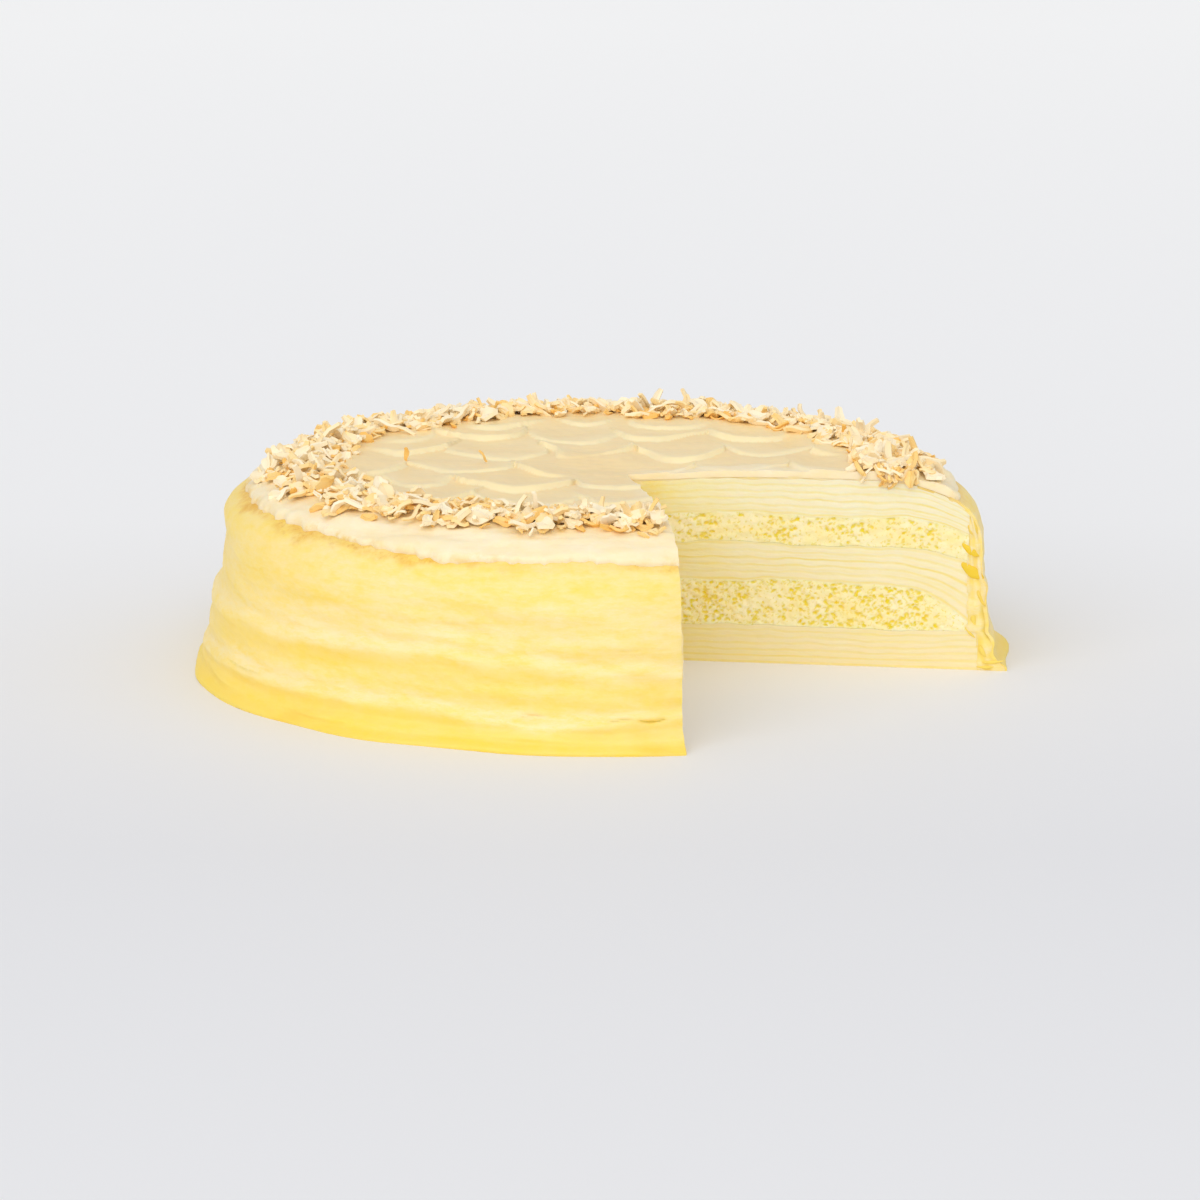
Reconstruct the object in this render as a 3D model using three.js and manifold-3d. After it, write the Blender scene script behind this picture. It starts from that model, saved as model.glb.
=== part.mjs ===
// A round crepe cake with one slice taken out: thin crepes with pastry cream between them, two sponge
// layers, one big crepe draped over the whole stack down to a flared foot, a coat of icing on top with
// palette-knife swoops, and a ring of toasted coconut flakes.
// Millimetres, +Z up. The origin is on the cake's axis, at the height of the surface it rests on.
// The front looks along +Y, and the slice is missing at the front right.
import * as THREE from "three";
import { mergeVertices } from "three/addons/utils/BufferGeometryUtils.js";
import Module from "manifold-3d";

const wasm = await Module();
wasm.setup();

// The slice: two straight knife cuts from one point near the middle, given by where each one heads.
const CUT_POINT = new THREE.Vector2(8, -5.5);
const FAR_CUT_DEG = -8.3;
const FRONT_CUT_DEG = -82.3;
const CUT_REACH = 180;

// The stack, from the bottom up.
const CREPE_THICKNESS = 0.9;
const CREPES_IN_GROUP = 6;
const LOWER_SPONGE_Z = 11.6;
const MIDDLE_GROUP_Z = 25.3;
const UPPER_SPONGE_Z = 36.3;
const TOP_GROUP_Z = 45.3;
const TOP_CREPE_Z = 56.1;

// The layers end inside the outer crepe. Above the bottom group they droop over the sponges' ends.
const STACK_RADIUS = 112.6;
const BOTTOM_GROUP_RADIUS = 115.6;
const DROOP_START = 90;
const DROOP_BEND = 104;
const DROOP_AT_BEND = 0.42;
const RIM_DROOP = [
  [0, 0],
  [LOWER_SPONGE_Z, 0],
  [MIDDLE_GROUP_Z, 12.6],
  [UPPER_SPONGE_Z, 4],
  [TOP_GROUP_Z, 5.2],
  [TOP_CREPE_Z, 9.3],
];
const STACK_SIDES = 16;
const STACK_TURN_DEG = -10.4;
const SIDE_GAP = 0.3;

// The outer crepe's surface, radius and height: flat top, round shoulder, wall and flared foot.
const ROUND_SIDES = 50;
const OUTER_TOP = [
  [89, 57],
  [95, 56.1],
  [100, 54.7],
  [104, 53.2],
  [108, 51.4],
  [110.5, 50],
];
const OUTER_WALL = [
  [112.6, 48.1],
  [114.4, 45],
  [115.4, 40.5],
  [115.4, 35],
  [115.6, 29.5],
  [116, 23.5],
  [116.7, 17.5],
  [117.5, 12.5],
  [119, 8],
  [121, 4.2],
  [123.2, 1.4],
  [123.6, 0],
];
const FOLD_DEPTH = 0.75;
const FOOT_RAGGED = 0.9;

// The icing's top: nominal radius and height, and the depth of the knife's swoops in the middle.
const ICING_TOP = [
  [12, 58.1],
  [23, 58.9],
  [34, 59.1],
  [45, 59.2],
  [56, 59.2],
  [66, 59.1],
  [75, 58.9],
  [88, 58.8],
  [98, 57.6],
  [103, 56.2],
  [107.5, 54],
  [110.2, 52.3],
];
const ICING_CENTRE_Z = 57.6;
const SWOOP_DEPTH = 0.9;
const SWOOP_WIDTH = 29;
const SWOOP_PITCH = 26;
const SWOOP_SAG = 9;
const SWOOP_FALL = 7;
const SWOOPS_START = 14;
const SWOOPS_END = 70;
const ICING_LIP = 0.4;

// The coconut: a low ring-shaped heap whose flakes lie at all angles.
const RING_INNER = 76.5;
const RING_OUTER = 100;
const RING_ROWS = [78.5, 83.5, 88.5, 93.5, 98];
const HEAP_HEIGHT = 3.2;
const HEAP_SIDES = 28;
const FLAKE_PITCH = 13;
const FLAKE_POINTED = 0.6;
const FLAKE_LENGTH = [5.5, 11];
const FLAKE_WIDTH = [2.2, 4.2];
const FLAKE_THICKNESS = 0.9;
const HEAP_CLEARANCE = 0.3;
const FLAKE_TILT = 0.6;
const STRAY_TILT = 0.2;
const STRAY_FLAKES = [
  [-66, 20],
  [-52, 29],
];

const COLOURS = {
  crepe: 0xe9cf7e,
  cream: 0xf8e7b4,
  sponge: 0xf3df93,
  outer: 0xf6df72,
  icing: 0xf9e9bf,
  coconut: 0xf3dcae,
};

const random = seededRandom(20);

function seededRandom(seed) {
  let state = seed >>> 0;
  return () => {
    state = (state + 0x6d2b79f5) >>> 0;
    let t = Math.imul(state ^ (state >>> 15), state | 1);
    t ^= t + Math.imul(t ^ (t >>> 7), t | 61);
    return ((t ^ (t >>> 14)) >>> 0) / 4294967296;
  };
}

function between(low, high) {
  return low + (high - low) * random();
}

// The value at x on a chain of straight lines through the points of a list.
function onChain(points, x) {
  if (x <= points[0][0]) return points[0][1];
  for (let i = 1; i < points.length; i += 1) {
    const [x0, y0] = points[i - 1];
    const [x1, y1] = points[i];
    if (x <= x1) return y0 + ((y1 - y0) * (x - x0)) / (x1 - x0);
  }
  return points[points.length - 1][1];
}

// A closed geometry as a solid, and a solid as a geometry.
function solidFrom(geometry) {
  const bare = geometry.clone();
  bare.deleteAttribute("normal");
  bare.deleteAttribute("uv");
  const merged = mergeVertices(bare, 1e-4);
  return new wasm.Manifold(
    new wasm.Mesh({
      numProp: 3,
      vertProperties: new Float32Array(merged.attributes.position.array),
      triVerts: new Uint32Array(merged.index.array),
    }),
  );
}

function geometryFrom(solid) {
  const mesh = solid.getMesh();
  const geometry = new THREE.BufferGeometry();
  geometry.setAttribute(
    "position",
    new THREE.BufferAttribute(new Float32Array(mesh.vertProperties), 3),
  );
  geometry.setIndex(new THREE.BufferAttribute(new Uint32Array(mesh.triVerts), 1));
  geometry.computeVertexNormals();
  return geometry;
}

// A profile of radius and height pairs turned round the cake's axis. The optional change moves each
// point, given its azimuth, radius and height, and returns the new radius and height.
function turned(profile, sides, turnDeg = 0, change = null) {
  const points = profile.map(([r, z]) => new THREE.Vector2(r, z));
  const geometry = new THREE.LatheGeometry(points, sides);
  geometry.rotateX(Math.PI / 2);
  geometry.rotateZ(THREE.MathUtils.degToRad(turnDeg));
  if (change) {
    const place = geometry.attributes.position;
    for (let i = 0; i < place.count; i += 1) {
      const azimuth = Math.atan2(place.getY(i), place.getX(i));
      const [r, z] = change(azimuth, Math.hypot(place.getX(i), place.getY(i)), place.getZ(i));
      place.setXYZ(i, r * Math.cos(azimuth), r * Math.sin(azimuth), z);
    }
  }
  return solidFrom(geometry);
}

// The wedge of the missing slice.
function sliceWedge() {
  const headings = [FAR_CUT_DEG, (FAR_CUT_DEG + FRONT_CUT_DEG) / 2, FRONT_CUT_DEG];
  const far = headings.map((deg) => {
    const turn = THREE.MathUtils.degToRad(deg);
    const reach = new THREE.Vector2(Math.cos(turn), Math.sin(turn)).multiplyScalar(CUT_REACH);
    return reach.add(CUT_POINT);
  });
  const outline = new THREE.Shape([CUT_POINT, ...far]);
  const wedge = new THREE.ExtrudeGeometry(outline, { depth: 120, bevelEnabled: false });
  wedge.translate(0, 0, -30);
  return solidFrom(wedge);
}

const missingSlice = sliceWedge();

// The height of a layer boundary at radius r, from its height at the middle of the cake.
function boundary(z, r) {
  const droop = onChain(RIM_DROOP, z);
  const share = onChain([[DROOP_START, 0], [DROOP_BEND, DROOP_AT_BEND], [STACK_RADIUS, 1]], r);
  return z - droop * share;
}

// One layer between two boundaries. A layer whose boundaries are flat is a plain disc.
function layer(low, high) {
  const flat = high <= LOWER_SPONGE_Z;
  const rim = flat ? BOTTOM_GROUP_RADIUS : STACK_RADIUS;
  const radii = flat ? [rim] : [DROOP_START, DROOP_BEND, rim];
  const under = radii.map((r) => [r, boundary(low, r)]);
  const over = radii.map((r) => [r, boundary(high, r)]).reverse();
  return turned([[0, low], ...under, ...over, [0, high]], STACK_SIDES, STACK_TURN_DEG);
}

// Crepes and creams by turns between two heights, beginning with a crepe.
function group(low, high, creams) {
  const creamThickness = (high - low - CREPES_IN_GROUP * CREPE_THICKNESS) / creams;
  const layers = [];
  let z = low;
  for (let i = 0; i < CREPES_IN_GROUP; i += 1) {
    layers.push({ kind: "crepe", low: z, high: z + CREPE_THICKNESS });
    z += CREPE_THICKNESS;
    if (i < creams) {
      layers.push({ kind: "cream", low: z, high: z + creamThickness });
      z += creamThickness;
    }
  }
  return layers;
}

// The top crepe of the last group is the outer crepe, made apart.
function stack() {
  const topCrepe = TOP_CREPE_Z + CREPE_THICKNESS;
  return [
    ...group(0, LOWER_SPONGE_Z, CREPES_IN_GROUP),
    { kind: "sponge", name: "sponge_lower", low: LOWER_SPONGE_Z, high: MIDDLE_GROUP_Z },
    ...group(MIDDLE_GROUP_Z, UPPER_SPONGE_Z, CREPES_IN_GROUP - 1),
    { kind: "sponge", name: "sponge_upper", low: UPPER_SPONGE_Z, high: TOP_GROUP_Z },
    ...group(TOP_GROUP_Z, topCrepe, CREPES_IN_GROUP - 1).slice(0, -1),
  ];
}

// The draped crepe's folds: soft bands round the wall that wander up and down, fading at the shoulder.
function wallRelief(azimuth, r, z) {
  if (r < OUTER_WALL[0][0] - 1e-3) return [r, z];
  const shoulder = THREE.MathUtils.smoothstep(OUTER_WALL[1][1] - z, 0, 6);
  const wander = 2.5 * Math.sin(2 * azimuth + 0.6) + 1.4 * Math.sin(5 * azimuth + 2);
  const bands = Math.sin((z + wander) * 0.62) + 0.5 * Math.sin((z - wander) * 1.15 + 3 * azimuth);
  const foot = THREE.MathUtils.smoothstep(OUTER_WALL[8][1] - z, 0, 6);
  const ragged = Math.sin(9 * azimuth + 1) + 0.6 * Math.sin(17 * azimuth);
  const out = FOLD_DEPTH * shoulder * (1 - foot) * bands + FOOT_RAGGED * foot * ragged;
  return [r + out, z];
}

function outerCrepe() {
  const skin = [[0, 0], ...[...OUTER_WALL].reverse(), ...[...OUTER_TOP].reverse(), [0, OUTER_TOP[0][1]]];
  const whole = turned(skin, ROUND_SIDES, 0, wallRelief);
  const wall = STACK_RADIUS + SIDE_GAP;
  const inside = [
    [0, -5],
    [BOTTOM_GROUP_RADIUS + SIDE_GAP, -5],
    [BOTTOM_GROUP_RADIUS + SIDE_GAP, LOWER_SPONGE_Z + SIDE_GAP],
    [wall, LOWER_SPONGE_Z + SIDE_GAP],
    [wall, boundary(TOP_CREPE_Z, STACK_RADIUS) - SIDE_GAP],
    [STACK_RADIUS, boundary(TOP_CREPE_Z, STACK_RADIUS)],
    [DROOP_BEND, boundary(TOP_CREPE_Z, DROOP_BEND)],
    [DROOP_START, TOP_CREPE_Z],
    [0, TOP_CREPE_Z],
  ];
  return whole.subtract(turned(inside, STACK_SIDES, STACK_TURN_DEG));
}

// Overlapping strokes of a palette knife, like fish scales. Each row is shifted against the next, and
// a stroke ends in a raised lip whose front edge bulges forwards, with a shallow dish behind it.
function swoop(x, y) {
  let behind = Infinity;
  const row = Math.floor(y / SWOOP_PITCH);
  for (let j = row - 1; j <= row + 1; j += 1) {
    const along = x / SWOOP_WIDTH + 0.5 * j + 0.2 * Math.sin(2.3 * j);
    const u = along - Math.floor(along) - 0.5;
    const edge = j * SWOOP_PITCH - SWOOP_SAG * (1 - 4 * u * u);
    if (y >= edge) behind = Math.min(behind, y - edge);
  }
  return SWOOP_DEPTH * (2 * Math.exp(-behind / SWOOP_FALL) - 1);
}

function icingRelief(azimuth, r, z) {
  const rim = ICING_TOP[ICING_TOP.length - 1];
  if (z > ICING_TOP[0][1] && r > SWOOPS_START && r < SWOOPS_END) {
    return [r, z + swoop(r * Math.cos(azimuth), r * Math.sin(azimuth))];
  }
  if (r > rim[0] + 0.5) {
    const drip = 0.5 + 0.3 * Math.sin(11 * azimuth) + 0.2 * Math.sin(23 * azimuth + 1);
    return [r + drip, z - drip];
  }
  return [r, z];
}

function icing() {
  const foot = OUTER_TOP[OUTER_TOP.length - 1];
  const lip = [foot[0] + ICING_LIP, foot[1] + ICING_LIP];
  const profile = [[0, OUTER_TOP[0][1]], ...OUTER_TOP, lip, ...[...ICING_TOP].reverse(), [0, ICING_CENTRE_Z]];
  let solid = turned(profile, ROUND_SIDES, 0, icingRelief);
  for (const [x, y] of STRAY_FLAKES) {
    solid = solid.add(flake(x, y, icingHeight(Math.hypot(x, y)) + 1, STRAY_TILT));
  }
  return solid;
}

// One flake: a thin shard, narrower at one end, turned every way.
function flake(x, y, z, tilt) {
  const length = between(...FLAKE_LENGTH);
  const shard = new THREE.BoxGeometry(length, between(...FLAKE_WIDTH), FLAKE_THICKNESS);
  const taper = random() < FLAKE_POINTED ? 0 : between(0.4, 0.9);
  const place = shard.attributes.position;
  for (let i = 0; i < place.count; i += 1) {
    if (place.getX(i) > 0) place.setY(i, place.getY(i) * taper);
  }
  shard.rotateX(between(-tilt, tilt) * 1.3);
  shard.rotateY(between(-tilt, tilt));
  shard.rotateZ(between(0, 2 * Math.PI));
  shard.translate(x, y, z);
  return solidFrom(shard);
}

// The heap's height above the icing at radius r.
function heapHeight(r) {
  const across = (r - RING_INNER) / (RING_OUTER - RING_INNER);
  return HEAP_HEIGHT * Math.sin(Math.PI * THREE.MathUtils.clamp(across, 0, 1)) ** 0.5;
}

function icingHeight(r) {
  return onChain(ICING_TOP, r);
}

function coconutRing() {
  const radii = [RING_INNER, RING_INNER + 3, 88, RING_OUTER - 4, RING_OUTER];
  const over = radii.map((r) => [r, icingHeight(r) + heapHeight(r)]).reverse();
  const under = [[RING_INNER, icingHeight(RING_INNER) - 2], [RING_OUTER, icingHeight(RING_OUTER) - 2]];
  const uneven = (azimuth, r, z) => {
    const lump = Math.sin(13 * azimuth + r) + Math.sin(29 * azimuth - 2 * r);
    return [r + 0.4 * lump, z + 0.35 * lump];
  };
  let heap = turned([...under, ...over, under[0]], HEAP_SIDES, 0, uneven);
  const flakes = [];
  RING_ROWS.forEach((r, row) => {
    const count = Math.round((2 * Math.PI * r) / FLAKE_PITCH);
    for (let i = 0; i < count; i += 1) {
      const azimuth = ((i + 0.5 * (row % 2) + between(-0.25, 0.25)) * 2 * Math.PI) / count;
      const at = r + between(-1.5, 1.5);
      const z = icingHeight(at) + heapHeight(at) + between(0, 1);
      flakes.push(flake(at * Math.cos(azimuth), at * Math.sin(azimuth), z, FLAKE_TILT));
    }
  });
  heap = flakes.reduce((sum, one) => sum.add(one), heap);
  const seat = ICING_TOP.map(([r, z]) => [r, z + HEAP_CLEARANCE]).reverse();
  const below = [[0, 0], [seat[0][0] + 12, 0], [seat[0][0] + 12, 46], ...seat, [0, ICING_CENTRE_Z + 1.5]];
  return heap.subtract(turned(below, ROUND_SIDES));
}

// A solid without the slice's wedge, and without the scraps that the cut leaves loose.
function served(solid) {
  const pieces = solid.subtract(missingSlice).decompose();
  return pieces.reduce((best, piece) => (piece.volume() > best.volume() ? piece : best));
}

function addPiece(cake, name, solid, colour) {
  const material = new THREE.MeshStandardMaterial({ color: colour, roughness: 0.6, metalness: 0 });
  const mesh = new THREE.Mesh(geometryFrom(served(solid)), material);
  mesh.name = name;
  cake.add(mesh);
}

function build() {
  const cake = new THREE.Group();
  const numbers = { crepe: 0, cream: 0 };
  for (const { kind, name, low, high } of stack()) {
    if (!name) numbers[kind] += 1;
    const title = name ?? `${kind}_${String(numbers[kind]).padStart(2, "0")}`;
    addPiece(cake, title, layer(low, high), COLOURS[kind]);
  }
  addPiece(cake, "outer_crepe", outerCrepe(), COLOURS.outer);
  addPiece(cake, "icing", icing(), COLOURS.icing);
  addPiece(cake, "coconut_ring", coconutRing(), COLOURS.coconut);
  return cake;
}

export default build();
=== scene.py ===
# %% [markdown]
# # A crepe cake with a slice taken out
# The solids of the cake come in as a fixed frame. Each layer, the outer crepe, the icing and the coconut
# get a finished piece of their own here, fitted to the place that the frame gives them.

# %% Load the frame
import math

import bpy
import numpy as np
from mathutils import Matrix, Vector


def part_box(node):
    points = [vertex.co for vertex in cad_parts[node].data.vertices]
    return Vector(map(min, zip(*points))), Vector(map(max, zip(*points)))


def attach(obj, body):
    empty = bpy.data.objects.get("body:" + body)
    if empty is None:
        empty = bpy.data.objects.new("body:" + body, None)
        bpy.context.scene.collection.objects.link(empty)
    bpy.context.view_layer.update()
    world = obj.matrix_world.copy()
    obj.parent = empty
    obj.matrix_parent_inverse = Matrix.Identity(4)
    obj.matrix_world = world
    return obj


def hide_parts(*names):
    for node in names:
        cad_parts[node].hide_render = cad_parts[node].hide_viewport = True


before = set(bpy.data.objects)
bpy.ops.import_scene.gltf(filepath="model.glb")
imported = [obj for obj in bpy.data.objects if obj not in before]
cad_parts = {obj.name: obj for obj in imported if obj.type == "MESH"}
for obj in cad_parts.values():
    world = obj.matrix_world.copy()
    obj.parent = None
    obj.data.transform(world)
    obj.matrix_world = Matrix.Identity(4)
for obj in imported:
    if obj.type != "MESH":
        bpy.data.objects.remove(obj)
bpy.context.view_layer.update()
bpy.ops.object.select_all(action="DESELECT")

# %% [markdown]
# Everything below is worked out in millimetres, as a baker would measure the cake, and turned into
# metres when a piece gets its shape. The heights of the layers are read from the frame.

# %% Sizes read from the frame
MM = 0.001


def top_of(node):
    """The highest point of a solid, in millimetres."""
    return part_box(node)[1].z / MM


def foot_of(node):
    """The lowest point of a solid, in millimetres."""
    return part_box(node)[0].z / MM


def names(kind, first, last):
    """The names of the layers of one kind, from a first to a last number."""
    return [f"{kind}_{i:02d}" for i in range(first, last + 1)]


def by_turns(crepes, creams):
    """Crepes and creams in the order in which they are stacked, beginning with a crepe."""
    order = []
    for i, crepe in enumerate(crepes):
        order += [crepe] + creams[i:i + 1]
    return order


STACK = (
    by_turns(names("crepe", 1, 6), names("cream", 1, 6)) + ["sponge_lower"]
    + by_turns(names("crepe", 7, 12), names("cream", 7, 11)) + ["sponge_upper"]
    + by_turns(names("crepe", 13, 17), names("cream", 12, 16))
)
SEAMS = [0.0] + [top_of(node) for node in STACK]
# The lowest group of crepes is a little wider than what stands on it, and ends at this seam.
STEP_SEAM = STACK.index("sponge_lower")
# How far each seam droops at the rim. No layer shows it for the last seam, so that one is given.
LAST_DROOP = 9.3
DROOPS = [seam - foot_of(node) for seam, node in zip(SEAMS, STACK)] + [LAST_DROOP]
CREPE_TOP = SEAMS[-1] + top_of("crepe_01")
print(len(STACK), "layers, the last seam at", round(SEAMS[-1], 2), "mm")

# %% [markdown]
# The camera stands where the photographer stood: far off, a little above the cake, with a long lens. It was
# placed by laying the cake's outline over the one in the photograph.

# %% Camera
CAMERA_PLACE = (0.07 * MM, -1348.3 * MM, 315.55 * MM)
CAMERA_TILT = 12.496
LENS = 138.0

bpy.ops.object.camera_add(location=CAMERA_PLACE, rotation=(math.radians(90 - CAMERA_TILT), 0, 0))
camera = bpy.context.object
camera.data.lens = LENS
camera.data.clip_end = 20
bpy.context.scene.camera = camera
print("camera looks down by", CAMERA_TILT, "degrees")

# %% [markdown]
# The photograph is bright and soft: a pale room, one broad light from the front and left, and a weaker
# one from the right. Far, wide suns do that better than lamps near the cake: they light all of it evenly, and
# their shadows have faint edges.

# %% Light
bpy.context.scene.view_settings.view_transform = "Standard"


def srgb(red, green, blue):
    """A colour given in screen values from 0 to 255, as the linear values that shaders use."""
    screen = np.array([red, green, blue]) / 255
    low = screen / 12.92
    high = ((screen + 0.055) / 1.055) ** 2.4
    return (*np.where(screen <= 0.04045, low, high), 1.0)


def soft_sun(name, azimuth, height, strength, spread, tint):
    """A far, wide light that comes from an azimuth and a height above the floor, both in degrees."""
    bpy.ops.object.light_add(type="SUN", rotation=(math.radians(90 - height), 0, math.radians(azimuth + 90)))
    light = bpy.context.object
    light.name = name
    light.data.energy = strength
    light.data.angle = math.radians(spread)
    light.data.color = tint


soft_sun("key", -112, 36, 1.3, 70, (1.0, 0.99, 0.97))
soft_sun("fill", -40, 50, 0.31, 80, (0.98, 0.99, 1.0))

world = bpy.data.worlds.new("pale room")
bpy.context.scene.world = world
world.use_nodes = True
room = world.node_tree.nodes["Background"]
room.inputs["Color"].default_value = (0.97, 0.98, 1.0, 1)
room.inputs["Strength"].default_value = 0.63

# %% [markdown]
# A finish is built as a graph of nodes. Writing the sums as Python expressions keeps them readable, so a
# small class stands for one socket, and each operator on it adds the Math node that does that sum.

# %% Shader sums and finishes
class Wire:
    """One value in a material. Sums on it add Math nodes."""

    def __init__(self, finish, socket):
        self.finish = finish
        self.socket = socket

    def sum(self, operation, first, second):
        """Adds one Math node with its two inputs."""
        return self.finish.add("Math", {"operation": operation}, {0: first, 1: second})

    def __add__(self, other):
        return self.sum("ADD", self, other)

    def __sub__(self, other):
        return self.sum("SUBTRACT", self, other)

    def __mul__(self, other):
        return self.sum("MULTIPLY", self, other)

    def __rsub__(self, other):
        return self.sum("SUBTRACT", other, self)

    __radd__ = __add__
    __rmul__ = __mul__

    def clipped(self):
        """The same value, kept between 0 and 1."""
        return self.finish.add("Math", {"operation": "ADD", "use_clamp": True}, {0: self, 1: 0.0})


class Finish:
    """A material with one Principled shader, and the nodes that feed it."""

    def __init__(self, name, **constants):
        self.material = bpy.data.materials.new(name)
        self.material.use_nodes = True
        self.tree = self.material.node_tree
        self.shader = self.tree.nodes["Principled BSDF"]
        for socket, value in constants.items():
            self.shader.inputs[socket.replace("_", " ")].default_value = value

    def add(self, kind, settings=None, values=None, out=0):
        """Adds one node, with its settings first and then its sockets, and returns one output."""
        node = self.tree.nodes.new("ShaderNode" + kind)
        for key, value in (settings or {}).items():
            setattr(node, key, value)
        for key, value in (values or {}).items():
            if isinstance(value, Wire):
                self.tree.links.new(value.socket, node.inputs[key])
            else:
                node.inputs[key].default_value = value
        return Wire(self, node.outputs[out])

    def place(self, stretch=(1, 1, 1)):
        """Object coordinates, stretched along each axis."""
        spot = self.add("TexCoord", out="Object")
        return self.add("Mapping", {"vector_type": "POINT"}, {"Vector": spot, "Scale": stretch})

    def noise(self, scale, detail, rough=0.5, stretch=(1, 1, 1)):
        values = {"Vector": self.place(stretch), "Scale": scale, "Detail": detail, "Roughness": rough}
        return self.add("TexNoise", {}, values)

    def mark(self, name):
        """A number stored on the mesh, by its attribute's name."""
        return self.add("Attribute", {"attribute_name": name}, out="Fac")

    def spread(self, wire, low, high):
        """Stretches a value so that low becomes 0 and high becomes 1, and clips it there."""
        return self.add("MapRange", {"clamp": True}, {"Value": wire, "From Min": low, "From Max": high})

    def blend(self, share, first, second):
        """A colour between two others. A Mix node's colours are its sockets 6 and 7, and come out at 2."""
        return self.add("Mix", {"data_type": "RGBA"}, {0: share, 6: first, 7: second}, 2)

    def paint(self, ground, *coats):
        """Lays coats of colour over a ground, each by its own share, and feeds them to the shader."""
        for share, tint in coats:
            ground = self.blend(share, ground, tint)
        self.feed("Base Color", ground)

    def bump(self, height, distance, strength):
        values = {"Height": height, "Distance": distance, "Strength": strength}
        self.feed("Normal", self.add("Bump", {}, values))

    def feed(self, socket, wire):
        self.tree.links.new(wire.socket, self.shader.inputs[socket])


print("finishes so far:", len(bpy.data.materials))

# %% [markdown]
# The floor is one wide pale sheet. It is painted a shade darker towards the viewer, with a soft grey band of
# painted shadow there.

# %% The floor
FLOOR_SIZE = 14
SHADOW_BAND_PLACE = -3.22

floor_finish = Finish("pale floor", Roughness=0.7)
depth = floor_finish.add("SeparateXYZ", {}, {"Vector": floor_finish.place()}, 1)
painted_far_light = floor_finish.spread(depth, -3.5, -1.0)
from_shadow_band = floor_finish.add("Math", {"operation": "ABSOLUTE"}, {0: depth - SHADOW_BAND_PLACE})
painted_shadow_band = 1 - floor_finish.spread(from_shadow_band, 0.0, 0.42)
# Painted shade: lighter far off, darker towards the viewer, with a soft band of painted shadow.
floor_finish.paint(srgb(242, 242, 244), (painted_far_light, srgb(252, 252, 252)), (painted_shadow_band * 0.8, srgb(230, 230, 233)))
bpy.ops.mesh.primitive_plane_add(size=FLOOR_SIZE, location=(0, 3, 0))
floor = bpy.context.object
floor.name = "floor"
floor.data.materials.append(floor_finish.material)
print("floor is", round(floor.dimensions.x, 1), "m wide")

# %% [markdown]
# The slice was taken with two straight cuts that start from one point near the middle. Every piece of the
# cake is therefore a body that turns round that point, from the far cut, through 286 degrees, to the
# front cut. Whole discs could be cut with a Boolean instead, but that leaves long thin faces on the cuts,
# where the layers need an even grid. So an upright grid is spun round an axis: it comes out closed, with
# its own grid of faces on both cuts. Its points are then moved to their real places.

# %% The cut, and a body spun from one cut to the other
CUT_POINT = np.array([8.0, -5.5])
FAR_CUT = math.radians(-8.3)
SWEEP = math.radians(286.0)
# A point within this turn of a cut lies on it.
ON_CUT = 1e-3


def new_grid(name, columns, rows):
    """A flat grid of unit size, with nothing else selected."""
    bpy.ops.object.select_all(action="DESELECT")
    bpy.ops.mesh.primitive_grid_add(x_subdivisions=columns, y_subdivisions=rows, size=1)
    piece = bpy.context.object
    piece.name = piece.data.name = name
    return piece


def spun_body(name, columns, rows, steps, start=0.0):
    """A closed body of unit size: columns along the cut, rows up it, and steps round the cut's point.
    With a start above 0 it is a ring, which leaves that radius free in its middle."""
    piece = new_grid(name, columns, rows)
    bpy.ops.object.mode_set(mode="EDIT")
    bpy.ops.mesh.select_all(action="SELECT")
    bpy.ops.transform.translate(value=(0.5 + start, 0.5, 0))
    bpy.ops.transform.rotate(value=math.radians(-90), orient_axis="X", center_override=(0, 0, 0))
    bpy.ops.mesh.spin(steps=steps, angle=-SWEEP, center=(0, 0, 0), axis=(0, 0, 1))
    bpy.ops.mesh.select_all(action="SELECT")
    bpy.ops.mesh.remove_doubles(threshold=1e-6)
    bpy.ops.mesh.normals_make_consistent(inside=False)
    bpy.ops.object.mode_set(mode="OBJECT")
    return piece


def points_of(piece):
    """The places of a mesh's points, one row for each."""
    flat = np.empty(len(piece.data.vertices) * 3)
    piece.data.vertices.foreach_get("co", flat)
    return flat.reshape(-1, 3)


def put_points(piece, points):
    """Moves a mesh's points to new places, one row for each."""
    piece.data.vertices.foreach_set("co", np.ascontiguousarray(points).ravel())
    piece.data.update()


def unit_places(piece, start=0.0):
    """For each point of a spun body: its share along the cut, its turn from the far cut, its share up."""
    x, y, z = points_of(piece).T
    turn = np.mod(np.arctan2(y, x) + 0.01, 2 * math.pi) - 0.01
    return np.clip(np.hypot(x, y) - start, 0, 1), turn, np.clip(z, 0, 1)


def from_cut_point(turn, radius):
    """The way from the cut's point, at a turn from the far cut, out to a radius from the cake's axis."""
    heading = np.stack([np.cos(FAR_CUT + turn), np.sin(FAR_CUT + turn)])
    inward = CUT_POINT @ heading
    return -inward + np.sqrt(np.maximum(inward ** 2 + radius ** 2 - CUT_POINT @ CUT_POINT, 0)), heading


def spread_out(turn, share, radius):
    """Places in plan, x and y, at a share of the way from the cut's point to the radius."""
    reach, heading = from_cut_point(turn, radius)
    return CUT_POINT[:, None] + share * reach * heading


def cut_faces(turn):
    """Masks of the points on the far cut and on the front cut, with each one's way into the gap."""
    far_out = np.array([math.sin(FAR_CUT), -math.cos(FAR_CUT)])
    front = FAR_CUT + SWEEP
    front_out = np.array([-math.sin(front), math.cos(front)])
    return ((turn < ON_CUT, far_out), (turn > SWEEP - ON_CUT, front_out))


print("the missing slice spans", round(360 - math.degrees(SWEEP)), "degrees")

# %% [markdown]
# Nothing on a cake is quite even. A wander is a soft random field, made of a few waves that run in random
# directions, with its own seed so that each run gives the same cake. A texture on a Displace modifier would
# do as much, but this can also be asked for its value at a single place.

# %% Soft unevenness
WAVES = 8


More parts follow.
